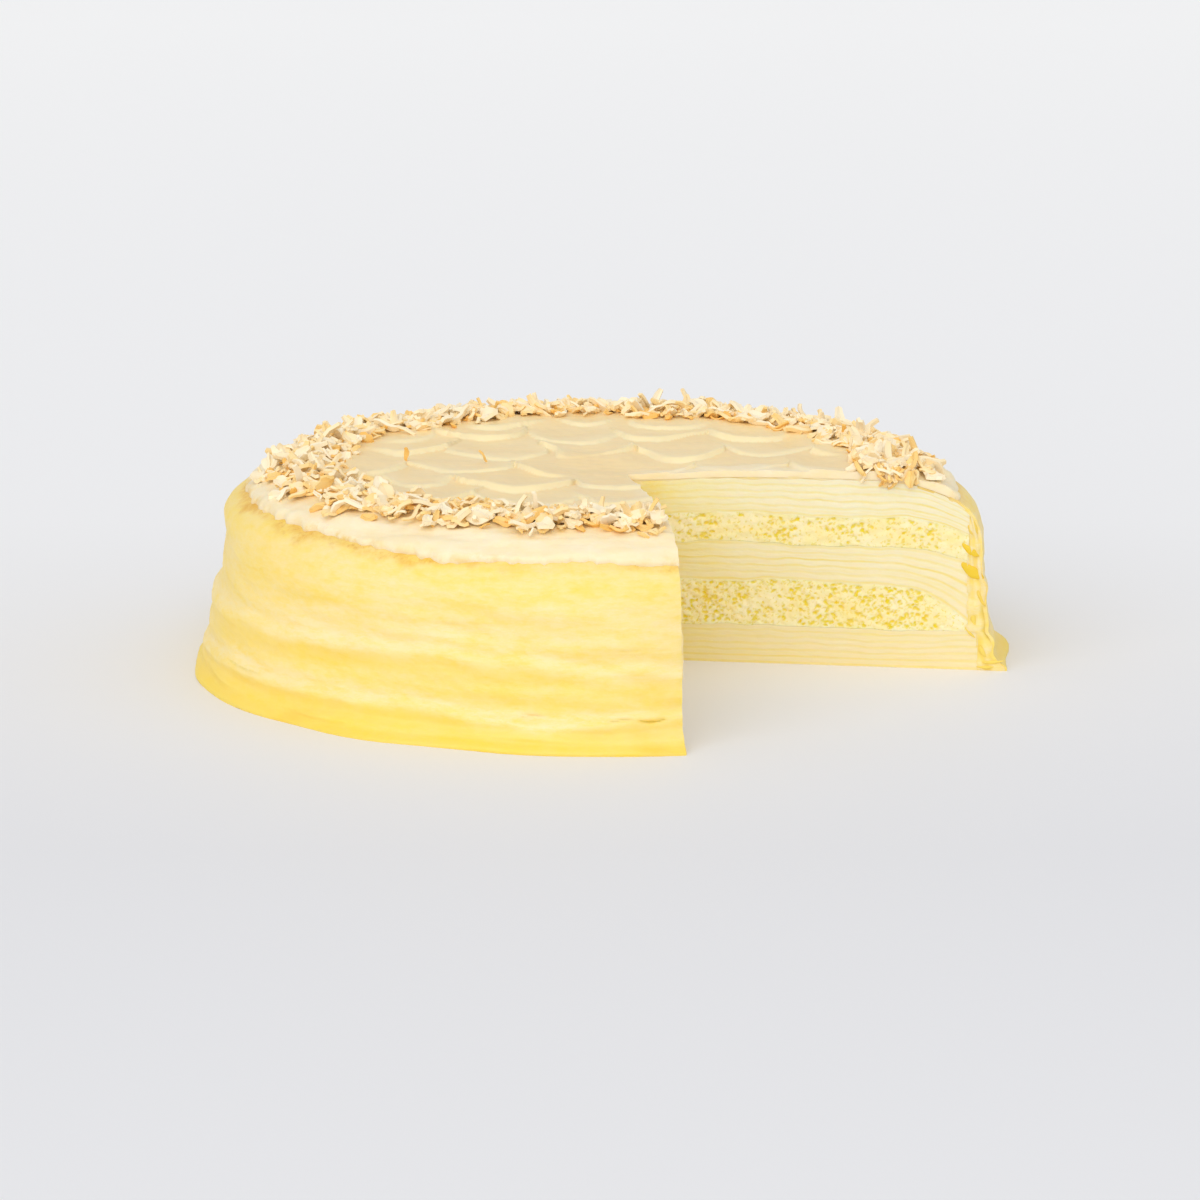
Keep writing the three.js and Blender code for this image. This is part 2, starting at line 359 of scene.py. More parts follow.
def wander(places, size, seed):
    """A smooth field, mostly between -1 and 1, whose swells are about size millimetres apart."""
    rng = np.random.default_rng(seed)
    total = np.zeros(places.shape[1])
    for _ in range(WAVES):
        way = rng.normal(size=3)
        way *= 2 * math.pi / (np.linalg.norm(way) * size * rng.uniform(0.6, 1.6))
        total += np.sin(way @ places + rng.uniform(0, 2 * math.pi))
    return total / math.sqrt(WAVES / 1.4)


def flat_wander(across, up, size, seed):
    """The same field on a flat face, by its two directions."""
    return wander(np.array([across, up, across * 0]), size, seed)


def smooth(value, low, high):
    """A soft step from 0 at low to 1 at high."""
    share = np.clip((value - low) / (high - low), 0, 1)
    return share * share * (3 - 2 * share)


def hump(value, middle, width):
    """A soft hump, 1 high at its middle and gone about two widths from there."""
    return np.exp(-((value - middle) / width) ** 2)


def round_the_wall(azimuth):
    """Places on a level circle at the wall, for a wander that depends on the azimuth alone."""
    return np.array([np.cos(azimuth) * 114, np.sin(azimuth) * 114, azimuth * 0])


def store(piece, name, values):
    """Keeps one number for each point on the mesh, where a finish can read it."""
    piece.data.attributes.new(name, "FLOAT", "POINT").data.foreach_set("value", values.astype(np.float32))


def finish_piece(piece, finish, replaced, angle):
    """Smooth shading, the material, and the piece's place in the frame."""
    bpy.ops.object.select_all(action="DESELECT")
    piece.select_set(True)
    bpy.context.view_layer.objects.active = piece
    bpy.ops.object.shade_smooth_by_angle(angle=math.radians(angle))
    piece.data.materials.append(finish.material)
    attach(piece, "root")
    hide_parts(*replaced)


print("a step from 0 to 1 is", smooth(0.25, 0, 1), "after a quarter of its way")

# %% [markdown]
# One large crepe is draped over the whole stack. Its sheet runs from under the icing over a rounded
# shoulder and down the wall, where it hangs in soft level folds that step outward towards the foot. It could
# be dropped as simulated cloth, but a chain of places turned round the cake gives the same drape, and the
# icing can then follow that chain too.

# %% The draped chain, from the middle of the top over the shoulder to the foot
DRAPE = np.array([
    (0, 57.0), (82, 57.0), (89, 56.7), (95, 55.7), (100, 54.2), (104, 52.7), (108, 50.6), (110.6, 48.6),
    (112.6, 46.2), (113.9, 43.2), (114.6, 40.0), (114.9, 36.0), (114.9, 0.0),
])
# Each ledge: its height, how far the sheet steps out below it, and over what height.
LEDGES = (
    (39.0, 0.3, 6.0), (31.0, 0.4, 4.5), (23.2, 1.2, 3.4), (16.0, 0.4, 3.5), (9.8, 1.6, 2.8), (5.0, 1.6, 2.6),
    (1.9, 2.6, 2.2),
)
# How far down the chain the icing comes, by azimuth in degrees.
ICING_EDGE = np.array([
    (0, 107.5), (60, 108.5), (120, 107.0), (183, 105.8), (206, 106.5), (224, 107.4), (232, 109.0), (242, 110.8),
    (252, 109.6), (262, 108.2), (272, 110.0), (281, 110.0), (351, 108.0), (360, 107.5),
])
DRAPE_STEPS = np.hypot(*np.diff(DRAPE, axis=0).T)
DRAPE_ALONG = np.concatenate([[0], np.cumsum(DRAPE_STEPS)])
DRAPE_END = DRAPE_ALONG[-1]


def drape(along):
    """Radius, height and outward way of the chain at distances along it."""
    radius = np.interp(along, DRAPE_ALONG, DRAPE[:, 0])
    z = np.interp(along, DRAPE_ALONG, DRAPE[:, 1])
    lean = np.arctan2(-np.diff(DRAPE[:, 1]), np.diff(DRAPE[:, 0]))
    middles = (DRAPE_ALONG[1:] + DRAPE_ALONG[:-1]) / 2
    slope = np.interp(along, middles, lean)
    return radius, z, np.stack([np.sin(slope), np.cos(slope)])


def drape_at(z):
    """The distance along the chain at which it has come down to a height."""
    return np.interp(-np.asarray(z, float), -DRAPE[1:, 1], DRAPE_ALONG[1:])


def drape_place(turn, radius):
    """Place in plan at a turn from the far cut and a radius from the cake's axis, with its azimuth."""
    x, y = spread_out(turn, np.ones_like(turn), radius)
    return x, y, np.arctan2(y, x)


# The knife pressed the cake down a little where it went in, at the point of the cut.
SAG_DEPTH = 2.0
SAG_REACH = 24.0


def top_sag(x, y):
    """How far the top has sunk towards the point of the cut."""
    from_point = np.hypot(x - CUT_POINT[0], y - CUT_POINT[1])
    return SAG_DEPTH * hump(from_point, 0, SAG_REACH)


print("the chain is", round(DRAPE_END), "mm long")

# %% [markdown]
# The folds wander up and down as they go round. Under each ledge the sheet gets painted shade in a deeper
# yellow, and a pale painted highlight along the ledge where it catches the light; on the left it is a deeper
# yellow too. A few short slits open where two folds part, with painted shade in them. They could be sculpted by
# hand, but lists of ledges and slits can be read and changed, and the same function then also tells the layers
# inside how far out they may reach.

# %% Relief of the wall
SWAY_LEFT = 3.0
# Each field of folds: its depth, how much finer it is upwards than round the cake, its swells and its seed.
WALL_FOLDS = ((0.6, 1.2, 70, 91), (0.26, 4.5, 40, 92), (0.1, 4.0, 15, 93), (0.05, 2.5, 4.5, 94))
# Each slit: where it starts and ends, in degrees round the cake, its height, how tall and how deep it is.
SLITS = (
    (270.6, 274.8, 8.8, 0.35, 0.8), (275.0, 279.4, 8.6, 0.45, 0.9), (258.4, 262.6, 9.2, 0.35, 0.7),
    (246.0, 258.5, 33.6, 0.2, 0.3), (271.5, 280.0, 28.0, 0.2, 0.35),
    (205.0, 216.0, 10.4, 0.4, 0.3), (148.0, 163.0, 9.2, 0.45, 0.9), (96.0, 112.0, 19.0, 0.35, 0.6),
    (52.0, 66.0, 8.3, 0.5, 1.0), (14.0, 25.0, 21.0, 0.4, 0.7), (350.5, 356.0, 15.2, 0.4, 0.8),
)


def wall_relief(x, y, z, azimuth):
    """Outward steps and folds of the wall, where it is a deeper yellow (painted shade under ledges and in
    slits, and more on the left), and where it is pale (painted highlights along ledges).
    """
    out = np.zeros_like(z)
    deep_tone_and_shade = np.zeros_like(z)
    pale_tone_and_highlight = np.zeros_like(z)
    degrees = np.degrees(azimuth) % 360
    ring = round_the_wall(azimuth)
    for i, (height, step, width) in enumerate(LEDGES):
        sway = (1.5 if height > 8 else 0.7) * wander(ring, 95, 60 + i) + 0.35 * wander(ring, 22, 70 + i)
        raised = SWAY_LEFT * np.sin(azimuth - 4.9) ** 2 - 3.2 * hump(degrees, 180, 14)
        sway = sway * (0.3 + 0.7 * smooth(height, 0, 8)) + raised * smooth(height, 14, 24)
        strength = np.clip(1 + 0.4 * wander(ring, 60, 80 + i), 0.4, 1.6) if height > 3 else 1.0
        gone = (height + sway - z) / width
        out += step * smooth(gone, -0.5, 0.5) * strength
        out += 0.22 * step * strength * hump(gone, 0.75, 0.5)
        # Painted shade under each ledge, and a painted highlight along it.
        weight = strength * min(step, 1.6) / 1.6
        deep_tone_and_shade += weight * hump(gone, 1.7, 0.9)
        pale_tone_and_highlight += weight * hump(gone, 0, 0.9) * smooth(height, 3, 12)
    low = smooth(47 - z, 0, 8)
    for depth, finer, size, seed in WALL_FOLDS:
        out += low * depth * wander(np.array([x, y, z * finer]), size, seed)
    # A deeper yellow on the left, most of all near the foot.
    deep_tone_and_shade += 0.5 * hump(degrees, 196, 22) + 0.9 * smooth(13 - z, 0, 9) * hump(degrees, 208, 24)
    deep_tone_and_shade = np.minimum(deep_tone_and_shade, 1.0)
    for start, end, height, tall, depth in SLITS:
        u = (degrees - (start + end) / 2) / ((end - start) / 2)
        bend = np.sin(u * 2.2 + start) * tall
        gap = np.sqrt(np.clip(1 - u * u, 0, 1)) * hump(z - height, bend, tall)
        out -= depth * gap
        # Painted shade in the slits.
        deep_tone_and_shade += 2.2 * min(depth, 1.0) * gap
    drawn_in = (1.0 + 1.8 * smooth(z, 21, 29)) * hump(degrees, 186, 20)
    out -= smooth(50 - z, 0, 12) * (0.3 + drawn_in)
    foot = smooth(4.5 - z, 0, 4)
    out += foot * (0.7 * np.sin(9 * azimuth + 1) + 0.5 * np.sin(17 * azimuth))
    return out, np.clip(deep_tone_and_shade, 0, 1.6), np.clip(pale_tone_and_highlight, 0, 1)


def kept_inside(x, y, z, gap):
    """Draws places in plan inward until they lie at least a gap inside the wall."""
    wall = drape(drape_at(z))[0] + wall_relief(x, y, z, np.arctan2(y, x))[0]
    shrink = np.minimum(1, (wall - gap) / np.maximum(np.hypot(x, y), 1))
    return x * shrink, y * shrink


print(len(LEDGES), "ledges and", len(SLITS), "slits")

# %% [markdown]
# The seams between layers are flat in the middle of the cake. Near the rim they droop, because the sponge
# layers are smaller than the crepes, and towards the point of the cut they sag where the knife pressed. Two
# layers that meet are fitted to one and the same seam, so no gap can open between them.

# %% The seams between layers
STACK_RADIUS = 110.8
BOTTOM_RADIUS = 113.8
DROOP_END = 112.6
DROOP_START = 86.0
OUTER_GAP = 1.3
NEAR_REACH = 26
# Each wave of a seam: its height, the size of its swells, and its seed.
SEAM_WAVES = ((0.4, 34, 3), (0.17, 11, 4), (0.06, 5, 5))


def seam_height(seam, x, y):
    """The height of a seam, given by its height in the middle, at places in plan."""
    radius = np.hypot(x, y)
    droop = np.interp(seam, SEAMS, DROOPS)
    share = np.clip((radius - DROOP_START) / (DROOP_END - DROOP_START), 0, 1) ** 2
    from_point = np.hypot(x - CUT_POINT[0], y - CUT_POINT[1])
    sag = SAG_DEPTH * (seam / CREPE_TOP) ** 2 * hump(from_point, 0, SAG_REACH)
    level = np.full_like(x, seam * 1.6)
    place = np.array([x, y, level])
    wave = sum(height * wander(place, size, seed) for height, size, seed in SEAM_WAVES)
    settled = smooth(seam, 0, 6)
    return seam - droop * share - sag + wave * settled


def shape_layer(piece, low, high, cut_depth):
    """Fits a spun body between two seams. cut_depth gives how far the cut faces stand out or in, and the
    mark "near" tells a finish how close to the point of the cut each place lies."""
    share, turn, up = unit_places(piece)
    rim = BOTTOM_RADIUS if high < SEAMS[STEP_SEAM] + 0.1 else STACK_RADIUS
    x, y = spread_out(turn, share, rim)
    z = seam_height(low, x, y) * (1 - up) + seam_height(high, x, y) * up
    outer = share > 0.95
    x[outer], y[outer] = kept_inside(x[outer], y[outer], z[outer], OUTER_GAP)
    along = share * from_cut_point(turn, rim)[0]
    for face, (mask, out) in enumerate(cut_faces(turn)):
        depth = cut_depth(along[mask], z[mask], up[mask], face)
        fade = smooth(along[mask], 0, 3)
        x[mask] += out[0] * depth * fade
        y[mask] += out[1] * depth * fade
    put_points(piece, np.stack([x, y, z], 1) * MM)
    store(piece, "near", hump(along, 0, NEAR_REACH))
    return up


print("seams from", SEAMS[0], "to", round(SEAMS[-1], 1), "mm, the most droop is", round(max(DROOPS), 1))

# %% [markdown]
# On the cut a crepe is a fine darker line, and the cream between two crepes is a pale band. The knife has
# smeared both nearly flat, so the line is a matter of colour, strongest along the middle of a crepe and
# broken by noise. Near the point of the cut, where the sides throw light on each other, all is yellower.

# %% Finishes of crepe and cream
def layer_finish(name, high, low, line_colour, roughness):
    """A soft layer, painted warmer and darker towards the cake's foot as shade with warm bounce light, with a
    broken line along its middle.
    """
    finish = Finish(name, Roughness=roughness, Subsurface_Weight=0.15, Subsurface_Scale=0.004)
    height = finish.add("SeparateXYZ", {}, {"Vector": finish.place()}, 2)
    patchy = finish.spread(finish.noise(150, 5, 0.7, (1, 1, 1.6)), 0.34, 0.66)
    near = finish.mark("near")
    broken = finish.spread(finish.noise(55, 4, 0.65, (1, 1, 3.0)), 0.34, 0.66)
    line = finish.spread(finish.mark("across"), 0.4, 0.9)
    # Painted light: darker and warmer towards the foot as painted shade and warm bounce light, and yellower
    # near the point of the cut as painted bounce light between the two cut faces.
    finish.paint(
        low, (finish.spread(height, 0.004, 0.054), high), (patchy * 0.3, line_colour),
        (near * (0.25 + patchy * 0.5), srgb(255, 230, 132)),
        (finish.spread(near, 0.72, 1.0) * (0.3 + patchy * 0.6), srgb(254, 218, 96)),
        ((line * (0.15 + broken * 0.75)).clipped(), line_colour),
    )
    finish.bump(finish.noise(420, 4, 0.6, (1, 1, 2.5)), 0.0004, 0.35)
    return finish


crepe_finish = layer_finish("crepe edge", srgb(255, 241, 200), srgb(255, 229, 168), srgb(252, 220, 118), 0.5)
cream_finish = layer_finish("pastry cream", srgb(255, 241, 210), srgb(255, 229, 181), srgb(254, 229, 162), 0.42)
print(crepe_finish.material.name, "and", cream_finish.material.name)

# %% [markdown]
# Each crepe and each cream is a thin disc with the slice left out. All of them are the same spun body, made
# anew for each layer and fitted between its two seams, with a trace of relief on the cuts.

# %% Crepes and creams
LAYER_COLUMNS = 90
LAYER_STEPS = 28
CREPE_SINK = 0.012
CREAM_SWELL = 0.018


def crepe_depth(along, z, up, face):
    """How far a crepe stands out on the cut, in millimetres: it is sunk a little along its middle."""
    fine = wander(np.array([along, z * 3, z * 0 + 9 * face]), 5, 21)
    return -CREPE_SINK * (1 - (2 * up - 1) ** 2) + 0.03 * fine


def cream_depth(along, z, up, face):
    """How far a cream stands out on the cut, in millimetres: it swells out a little."""
    fine = wander(np.array([along, z * 2, z * 0 + 9 * face]), 7, 22)
    return CREAM_SWELL * (1 - (2 * up - 1) ** 2) * (1 + 0.7 * fine) + 0.03 * fine


def thin_layer(node, low, high):
    """One crepe or cream. The mark "across" is strongest along its middle, for the line on the cut."""
    is_crepe = node.startswith("crepe")
    piece = spun_body("piece_" + node, LAYER_COLUMNS, 3, LAYER_STEPS)
    up = shape_layer(piece, low, high, crepe_depth if is_crepe else cream_depth)
    strength = np.random.default_rng(int(low * 100)).uniform(0.55, 1.15) * (0.75 if low > 52 else 1.0)
    store(piece, "across", strength * (1 - (2 * up - 1) ** 2))
    finish = crepe_finish if is_crepe else cream_finish
    finish_piece(piece, finish, [node], 55)


thin_nodes = [node for node in STACK if not node.startswith("sponge")]
for node in thin_nodes:
    level = STACK.index(node)
    thin_layer(node, SEAMS[level], SEAMS[level + 1])
print(len(thin_nodes), "crepes and creams")

# %% [markdown]
# The sponge is an open crumb, and its pores look a deeper yellow than the crumb around them, painted here as
# shade in the hollows. Noise that moves the faces would give worms instead of pores. So each pore is a dent of
# its own, a small slanted oval, and a point of the cut face sinks by the deepest pore that covers it. How deep
# it lies is kept for the painted shade.

# %% Sponge
SPONGE_COLUMNS = 330
SPONGE_ROW = 0.33
PORE_SIZE = (0.22, 0.62)
PORE_DEPTH = 0.7
# Pores are also laid this far below a sponge's lower seam, because the seam droops at the rim.
DROOP_ROOM = 9


def pore_depths(along, z, low, high, seed, spacing, open_share):
    """How deep each point of a cut face lies in the pores around it, in millimetres."""
    rng = np.random.default_rng(seed)
    length = 100.0
    count = int(length * (high - low + DROOP_ROOM) / spacing ** 2)
    where = np.stack([rng.uniform(0, length, count), rng.uniform(low - DROOP_ROOM, high, count)])
    crowd = flat_wander(where[0], where[1] * 1.3, 13, seed + 7)
    where = where[:, rng.uniform(-1, 1, count) < 0.6 * crowd + open_share]
    count = where.shape[1]
    size = rng.uniform(0, 1, count) ** 2.2 * (PORE_SIZE[1] - PORE_SIZE[0]) + PORE_SIZE[0]
    lean = rng.uniform(-0.9, 0.9, count)
    depth = np.zeros_like(along)
    for (px, pz), radius, slant in zip(where.T, size, lean):
        near = np.flatnonzero((np.abs(along - px) < 2.2 * radius) & (np.abs(z - pz) < 2.2 * radius))
        if near.size:
            dx = along[near] - px
            dz = z[near] - pz
            across = dx * math.cos(slant) + dz * math.sin(slant)
            updown = dz * math.cos(slant) - dx * math.sin(slant)
            inside = 1 - (across / (1.5 * radius)) ** 2 - (updown / (0.85 * radius)) ** 2
            depth[near] = np.maximum(depth[near], np.sqrt(np.maximum(inside, 0)) * radius * PORE_DEPTH)
    return depth


print("pores are", PORE_SIZE[0], "to", PORE_SIZE[1], "mm in radius")

# %% Finish of the sponge
sponge_finish = Finish("sponge crumb", Roughness=0.75, Subsurface_Weight=0.15, Subsurface_Scale=0.003)
pore_shade = sponge_finish.spread(sponge_finish.mark("pore_shade"), 0.02, 0.32)
pinhole_shade = sponge_finish.spread(sponge_finish.noise(1000, 2, 0.5), 0.57, 0.66)
crumb = sponge_finish.noise(900, 5, 0.65)
tone = sponge_finish.spread(sponge_finish.noise(160, 3), 0.3, 0.7)
crumb_colour = sponge_finish.blend(tone, srgb(255, 242, 201), srgb(255, 235, 160))
pore_shade_colour = sponge_finish.blend(tone, srgb(236, 214, 30), srgb(242, 208, 34))
# Painted shade: pores and fine pinholes are a deeper yellow, the more so the deeper a pore lies.
sponge_finish.paint(crumb_colour, ((pore_shade * (0.6 + crumb * 0.5) + pinhole_shade * 0.5).clipped(), pore_shade_colour))
sponge_finish.bump(crumb, 0.0006, 0.5)
print("finish", sponge_finish.material.name)

# %% The two sponges
def sponge(node, low, high, seed, spacing, open_share):
    """A sponge layer with real pores on both cut faces."""
    rows = int((high - low) / SPONGE_ROW)
    piece = spun_body("piece_" + node, SPONGE_COLUMNS, rows, LAYER_STEPS)
    turn = unit_places(piece)[1]
    marks = np.zeros(len(turn))

    def depth(along, z, up, face):
        """Pores on one cut face, fewer at the rim, on a crumb that is not quite flat."""
        inner = 1 - 0.85 * smooth(along, 90, 97)
        rim = smooth(up, 0, 0.06) * smooth(1 - up, 0, 0.06)
        pores = pore_depths(along, z, low, high, seed + face, spacing, open_share) * inner * rim
        marks[cut_faces(turn)[face][0]] = pores
        return 0.1 * flat_wander(along, z, 2.6, seed + 5) * rim - pores

    shape_layer(piece, low, high, depth)
    store(piece, "pore_shade", marks)
    finish_piece(piece, sponge_finish, [node], 180)
    return piece


for node, seed, spacing, open_share in (("sponge_lower", 31, 0.8, 0.45), ("sponge_upper", 41, 0.95, 0.0)):
    level = STACK.index(node)
    piece = sponge(node, SEAMS[level], SEAMS[level + 1], seed, spacing, open_share)
    print(node, len(piece.data.polygons), "faces")

# %% [markdown]
# The outer crepe is a thin pancake, yellow from the eggs in it. Its colour runs in level bands and washed-out
# streaks.
# Under the ledges and in the slits it gets painted shade in a deeper yellow, where the folds catch the light it
# gets pale painted highlights, and just under the icing it is browned in specks. The marks kept on its mesh say
# where, and noise breaks them up so that no border looks drawn.

# %% Finish of the outer crepe
skin_finish = Finish("outer crepe", Roughness=0.42, Subsurface_Weight=0.18, Subsurface_Scale=0.006)
skin_finish.shader.inputs["Subsurface Radius"].default_value = (1.0, 0.75, 0.3)
band = skin_finish.spread(skin_finish.noise(24, 4, 0.6, (1, 1, 5.0)), 0.34, 0.66)
streak = skin_finish.spread(skin_finish.noise(95, 6, 0.75, (1, 1, 3.6)), 0.38, 0.62)
fine = skin_finish.noise(330, 5, 0.65, (1, 1, 1.6))
spots = skin_finish.spread(skin_finish.noise(30, 3, 0.6, (1, 1, 2.4)), 0.58, 0.72)
baked = skin_finish.spread(skin_finish.noise(150, 6, 0.75, (1, 1, 1.2)), 0.4, 0.62)
specks = skin_finish.spread(skin_finish.noise(430, 4, 0.7), 0.54, 0.66)
height = skin_finish.add("SeparateXYZ", {}, {"Vector": skin_finish.place()}, 2)
upper = skin_finish.spread(height, 0.002, 0.026)
washed = band * 0.36 + streak * 0.36 + skin_finish.spread(fine, 0.36, 0.64) * 0.2
deep_tone_and_shade = skin_finish.mark("deep_tone_and_shade")
browned = skin_finish.mark("browned")
# From the ground up: higher on the wall, washed out, a deeper yellow (painted shade under a ledge, and more on
# the left), its spots, painted shade in a slit, a painted highlight above a ledge, on an orange tongue,
# browned, and the browning's specks.
skin_finish.paint(
    srgb(255, 218, 68), (upper, srgb(255, 219, 82)), (washed * (0.52 + upper * 0.48), srgb(255, 231, 176)),
    ((deep_tone_and_shade * (0.12 + streak * 0.36)).clipped(), srgb(255, 218, 60)),
    ((spots * deep_tone_and_shade * 0.5).clipped(), srgb(250, 201, 64)),
    (skin_finish.spread(deep_tone_and_shade, 1.0, 1.6), srgb(222, 194, 44)),
    (skin_finish.mark("pale_tone_and_highlight") * (0.2 + streak * 0.5), srgb(255, 236, 190)),
    (skin_finish.mark("saffron"), srgb(252, 208, 44)),
    ((browned * (0.25 + baked * 0.85)).clipped(), srgb(240, 186, 68)),
    ((browned * baked * specks * 0.8).clipped(), srgb(212, 142, 44)),
)
skin_finish.feed("Roughness", 0.4 + fine * 0.16)
skin_finish.bump(fine, 0.0005, 0.3)
print("finish", skin_finish.material.name)

# %% [markdown]
# The sheet is a fine grid laid along the chain. Solidify would give it an inner side too, which nobody can
# see. Here only its borders are folded under, which gives it the thin edge that shows at the two cuts and at
# the foot.

# %% A sheet, and how it is closed
def sheet(name, columns, rows):
    """A grid that still has to get its shape: for each point its turn from the far cut, its share outward,
    and whether it belongs to the border that is folded under at the two cuts and at the outer end."""
    piece = new_grid(name, columns + 2, rows + 1)
    x, y, _ = points_of(piece).T
    column = np.rint((x + 0.5) * (columns + 2))
    row = np.rint((y + 0.5) * (rows + 1))
    under = (column == 0) | (column == columns + 2) | (row == rows + 1)
    return piece, np.clip((column - 1) / columns, 0, 1) * SWEEP, np.clip(row / rows, 0, 1), under


def close_sheet(piece):
    """Turns a sheet's faces outward and welds the points that share a place."""
    bpy.ops.object.mode_set(mode="EDIT")
    bpy.ops.mesh.select_all(action="SELECT")
    bpy.ops.mesh.remove_doubles(threshold=1e-6)
    bpy.ops.mesh.flip_normals()
    bpy.ops.object.mode_set(mode="OBJECT")


print("a sheet spans", round(math.degrees(SWEEP)), "degrees")

# %% The outer crepe
SKIN_COLUMNS = 430
SKIN_ROWS = 150
SKIN_EDGE = 1.1
SKIN_START = drape_at(56.0)

skin, turn, share, under = sheet("piece_outer_crepe", SKIN_COLUMNS, SKIN_ROWS)
along = SKIN_START + (DRAPE_END - SKIN_START) * share
radius, z, way = drape(along)
x, y, azimuth = drape_place(turn, radius)
relief, deep_tone_and_shade, pale_tone_and_highlight = wall_relief(x, y, z, azimuth)
radius = radius + relief * way[0] - under * SKIN_EDGE * way[0]
z = np.maximum(z + relief * way[1] * 0.2 - under * SKIN_EDGE * way[1], 0.0)
x, y, azimuth = drape_place(turn, radius)
put_points(skin, np.stack([x, y, z], 1) * MM)
store(skin, "deep_tone_and_shade", deep_tone_and_shade)
store(skin, "pale_tone_and_highlight", pale_tone_and_highlight)
flare = round_the_wall(azimuth)
degrees = np.degrees(azimuth) % 360
edge_height = np.interp(np.interp(degrees, *ICING_EDGE.T), DRAPE_ALONG, DRAPE[:, 1])
reach = 2.2 + 1.8 * wander(flare, 26, 95) + 0.9 * wander(flare, 7, 96)
strong = np.clip(0.55 + 0.5 * wander(flare, 45, 97) + 0.5 * hump(degrees, 208, 22), 0.1, 1.1)
browned = strong * smooth(z, edge_height - 1.3 * np.maximum(reach, 1.0), edge_height - 0.2 * reach)
store(skin, "browned", browned)
store(skin, "saffron", z * 0)
close_sheet(skin)
finish_piece(skin, skin_finish, ["outer_crepe"], 75)
print("outer crepe", len(skin.data.polygons), "faces")

# %% [markdown]
# Between the stack and the sheet lie the folds of the sheet itself. At the cuts they show as a rippled
# yellow mass. Its outline on each cut lies between the stack's rim and the wall, so a spun ring is stretched
# to fill just that.

# %% The folds inside the sheet
FOLD_TOP = 46.5
STACK_OVERLAP = 0.4


def plain_marks(piece, deep_tone_and_shade, pale_tone_and_highlight, saffron):
    """The marks that the outer crepe's finish reads, for a piece of the sheet that isn't on the wall."""
    count = len(piece.data.vertices)
    for name, value in (("deep_tone_and_shade", deep_tone_and_shade), ("pale_tone_and_highlight", pale_tone_and_highlight), ("saffron", saffron), ("browned", 0.0)):
        store(piece, name, np.broadcast_to(value, count))


folds = spun_body("piece_inner_folds", 10, 70, 60, 1.0)
share, turn, up = unit_places(folds, 1.0)
z = up * FOLD_TOP
radius, _, _ = drape(drape_at(z))
x, y, azimuth = drape_place(turn, radius)
relief, _, _ = wall_relief(x, y, z, azimuth)
at_cut = (turn < ON_CUT) | (turn > SWEEP - ON_CUT)
outer = radius + relief - np.where(at_cut, 0.5, 2.2)
step_height = SEAMS[STEP_SEAM] - DROOPS[STEP_SEAM] - 0.3
inner = np.where(z < step_height, BOTTOM_RADIUS, STACK_RADIUS) - STACK_OVERLAP
x, y, azimuth = drape_place(turn, inner + (np.maximum(outer, inner + 0.2) - inner) * share)
ripple = flat_wander(share * 9, z * 0.7, 5, 131)
for mask, out in cut_faces(turn):
    x[mask] += out[0] * (0.05 + 0.3 * ripple[mask])
    y[mask] += out[1] * (0.05 + 0.3 * ripple[mask])
put_points(folds, np.stack([x, y, z], 1) * MM)
# Painted shade in the ripples' troughs, and painted highlights on their crests.
plain_marks(folds, smooth(-ripple, 0.4, 1.2), smooth(ripple, -0.6, 0.5), 0.0)
finish_piece(folds, skin_finish, ["outer_crepe"], 60)
print("inner folds step in at", round(step_height, 2), "mm, just under seam", STEP_SEAM)

# %% [markdown]
# The middle of the same sheet lies on top of the stack, under the icing, and shows as one more pale line
# along both cuts. It fills what is left between the last seam and the chain.

# %% The crepe on top of the stack
COVER_RADIUS = 109.6
COVER_GAP = 0.8

cover = spun_body("piece_top_crepe", 90, 2, 90)
share, turn, up = unit_places(cover)
x, y = spread_out(turn, share, COVER_RADIUS)
radius = np.hypot(x, y)
under = seam_height(SEAMS[-1], x, y)
over = np.interp(radius, DRAPE[:, 0], DRAPE[:, 1]) - top_sag(x, y) - COVER_GAP * smooth(radius, 94, 103)
z = under + (np.maximum(over, under + 0.3) - under) * up
x, y = kept_inside(x, y, z, COVER_GAP)
put_points(cover, np.stack([x, y, z], 1) * MM)
plain_marks(cover, 0.0, 1.0, 0.0)
finish_piece(cover, skin_finish, ["outer_crepe"], 60)
print("top crepe", len(cover.data.polygons), "faces")

# %% [markdown]
# Where the knife went through a fold, its end shows on the cut as a small tongue, the upper two of them a
# strong orange yellow. A flat card would do from the front. A sphere flattened into a lens and bent along
# its way also looks right from the side.

# %% Tongues of folded crepe at the outer ends of the cuts
TONGUE_PROUD = 0.42
# Each tongue: its start and its end, as the way along the cut and the height, its half width, and how
# orange it is.
TONGUES = (
    (99.8, 38.0, 104.9, 34.2, 1.0, 1.0), (99.6, 32.0, 106.4, 27.6, 1.5, 1.0),
    (103.0, 45.2, 104.4, 41.0, 0.5, 0.6), (101.5, 43.8, 102.8, 40.8, 0.4, 0.5),
    (104.4, 24.2, 107.0, 19.2, 0.6, 0.5), (103.2, 16.6, 104.6, 12.6, 0.8, 0.3),
    (101.0, 12.9, 104.2, 9.6, 0.35, 0.2), (105.4, 7.6, 107.6, 3.8, 0.7, 0.1),
    (106.4, 2.2, 113.2, 2.9, 0.45, 0.1), (104.6, 0.9, 110.4, 1.0, 0.45, 0.0),
)


